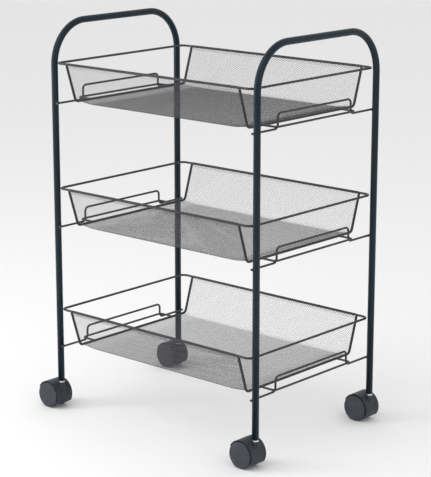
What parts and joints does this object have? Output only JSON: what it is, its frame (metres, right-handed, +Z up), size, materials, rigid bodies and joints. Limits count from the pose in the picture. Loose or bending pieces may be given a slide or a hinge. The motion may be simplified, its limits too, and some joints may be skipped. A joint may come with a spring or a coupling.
{
  "type": "rolling utility cart",
  "caption": "Rolling utility cart: bent-tube end frames carry lift-off expanded-mesh wire baskets on hooked rails and stand on swivel casters.",
  "frame": {"origin": "centre of the whole cart's outline, on the floor", "axes": "+X along the long side of the baskets towards the right end frame, +Y from the front long side to the back, +Z up"},
  "size_m": [0.5488, 0.377, 0.757],
  "materials": {
    "tube_paint": "gloss",
    "wire_paint": "satin",
    "mesh_paint": "satin",
    "caster_plastic": "satin",
    "wheel_plastic": "satin",
    "plated_steel": "bright zinc plate"
  },
  "bodies": {
    "cart_frame": {"left_end_frame": "tube_paint", "right_end_frame": "tube_paint", "left_bottom_rail": "wire_paint", "left_middle_rail": "wire_paint", "left_top_rail": "wire_paint", "right_bottom_rail": "wire_paint", "right_middle_rail": "wire_paint", "right_top_rail": "wire_paint", "left_front_socket": "caster_plastic", "left_front_stem": "plated_steel", "right_front_socket": "caster_plastic", "right_front_stem": "plated_steel", "left_back_socket": "caster_plastic", "left_back_stem": "plated_steel", "right_back_socket": "caster_plastic", "right_back_stem": "plated_steel"},
    "bottom_basket": {"bottom_rim": "wire_paint", "bottom_left_end_wire": "wire_paint", "bottom_right_end_wire": "wire_paint", "bottom_left_hanger": "wire_paint", "bottom_right_hanger": "wire_paint", "bottom_mesh": "mesh_paint"},
    "middle_basket": {"middle_rim": "wire_paint", "middle_left_end_wire": "wire_paint", "middle_right_end_wire": "wire_paint", "middle_left_hanger": "wire_paint", "middle_right_hanger": "wire_paint", "middle_mesh": "mesh_paint"},
    "top_basket": {"top_rim": "wire_paint", "top_left_end_wire": "wire_paint", "top_right_end_wire": "wire_paint", "top_left_hanger": "wire_paint", "top_right_hanger": "wire_paint", "top_mesh": "mesh_paint"},
    "left_front_caster": {"left_front_housing": "caster_plastic", "left_front_axle": "plated_steel"},
    "left_front_outer_wheel": {"left_front_outer_wheel": "wheel_plastic"},
    "left_front_inner_wheel": {"left_front_inner_wheel": "wheel_plastic"},
    "right_front_caster": {"right_front_housing": "caster_plastic", "right_front_axle": "plated_steel"},
    "right_front_outer_wheel": {"right_front_outer_wheel": "wheel_plastic"},
    "right_front_inner_wheel": {"right_front_inner_wheel": "wheel_plastic"},
    "left_back_caster": {"left_back_housing": "caster_plastic", "left_back_axle": "plated_steel"},
    "left_back_outer_wheel": {"left_back_outer_wheel": "wheel_plastic"},
    "left_back_inner_wheel": {"left_back_inner_wheel": "wheel_plastic"},
    "right_back_caster": {"right_back_housing": "caster_plastic", "right_back_axle": "plated_steel"},
    "right_back_outer_wheel": {"right_back_outer_wheel": "wheel_plastic"},
    "right_back_inner_wheel": {"right_back_inner_wheel": "wheel_plastic"}
  },
  "joints": [
    {"name": "bottom_basket_lift", "type": "slide", "parent": "cart_frame", "child": "bottom_basket", "axis": [0, 0, 1], "range_m": [0, 0.045]},
    {"name": "middle_basket_lift", "type": "slide", "parent": "cart_frame", "child": "middle_basket", "axis": [0, 0, 1], "range_m": [0, 0.045]},
    {"name": "top_basket_lift", "type": "slide", "parent": "cart_frame", "child": "top_basket", "axis": [0, 0, 1], "range_m": [0, 0.2]},
    {"name": "left_front_swivel", "type": "hinge", "parent": "cart_frame", "child": "left_front_caster", "pos_m": [-0.22945, -0.1675, 0.045], "axis": [0, 0, 1], "continuous": true},
    {"name": "left_front_outer_spin", "type": "hinge", "parent": "left_front_caster", "child": "left_front_outer_wheel", "pos_m": [-0.24945, -0.1675, 0.025], "axis": [0, 1, 0], "continuous": true},
    {"name": "left_front_inner_spin", "type": "hinge", "parent": "left_front_caster", "child": "left_front_inner_wheel", "pos_m": [-0.24945, -0.1675, 0.025], "axis": [0, 1, 0], "continuous": true},
    {"name": "right_front_swivel", "type": "hinge", "parent": "cart_frame", "child": "right_front_caster", "pos_m": [0.26555, -0.1675, 0.045], "axis": [0, 0, 1], "continuous": true},
    {"name": "right_front_outer_spin", "type": "hinge", "parent": "right_front_caster", "child": "right_front_outer_wheel", "pos_m": [0.24555, -0.1675, 0.025], "axis": [0, 1, 0], "continuous": true},
    {"name": "right_front_inner_spin", "type": "hinge", "parent": "right_front_caster", "child": "right_front_inner_wheel", "pos_m": [0.24555, -0.1675, 0.025], "axis": [0, 1, 0], "continuous": true},
    {"name": "left_back_swivel", "type": "hinge", "parent": "cart_frame", "child": "left_back_caster", "pos_m": [-0.22945, 0.1675, 0.045], "axis": [0, 0, 1], "continuous": true},
    {"name": "left_back_outer_spin", "type": "hinge", "parent": "left_back_caster", "child": "left_back_outer_wheel", "pos_m": [-0.24945, 0.1675, 0.025], "axis": [0, 1, 0], "continuous": true},
    {"name": "left_back_inner_spin", "type": "hinge", "parent": "left_back_caster", "child": "left_back_inner_wheel", "pos_m": [-0.24945, 0.1675, 0.025], "axis": [0, 1, 0], "continuous": true},
    {"name": "right_back_swivel", "type": "hinge", "parent": "cart_frame", "child": "right_back_caster", "pos_m": [0.26555, 0.1675, 0.045], "axis": [0, 0, 1], "continuous": true},
    {"name": "right_back_outer_spin", "type": "hinge", "parent": "right_back_caster", "child": "right_back_outer_wheel", "pos_m": [0.24555, 0.1675, 0.025], "axis": [0, 1, 0], "continuous": true},
    {"name": "right_back_inner_spin", "type": "hinge", "parent": "right_back_caster", "child": "right_back_inner_wheel", "pos_m": [0.24555, 0.1675, 0.025], "axis": [0, 1, 0], "continuous": true}
  ]
}
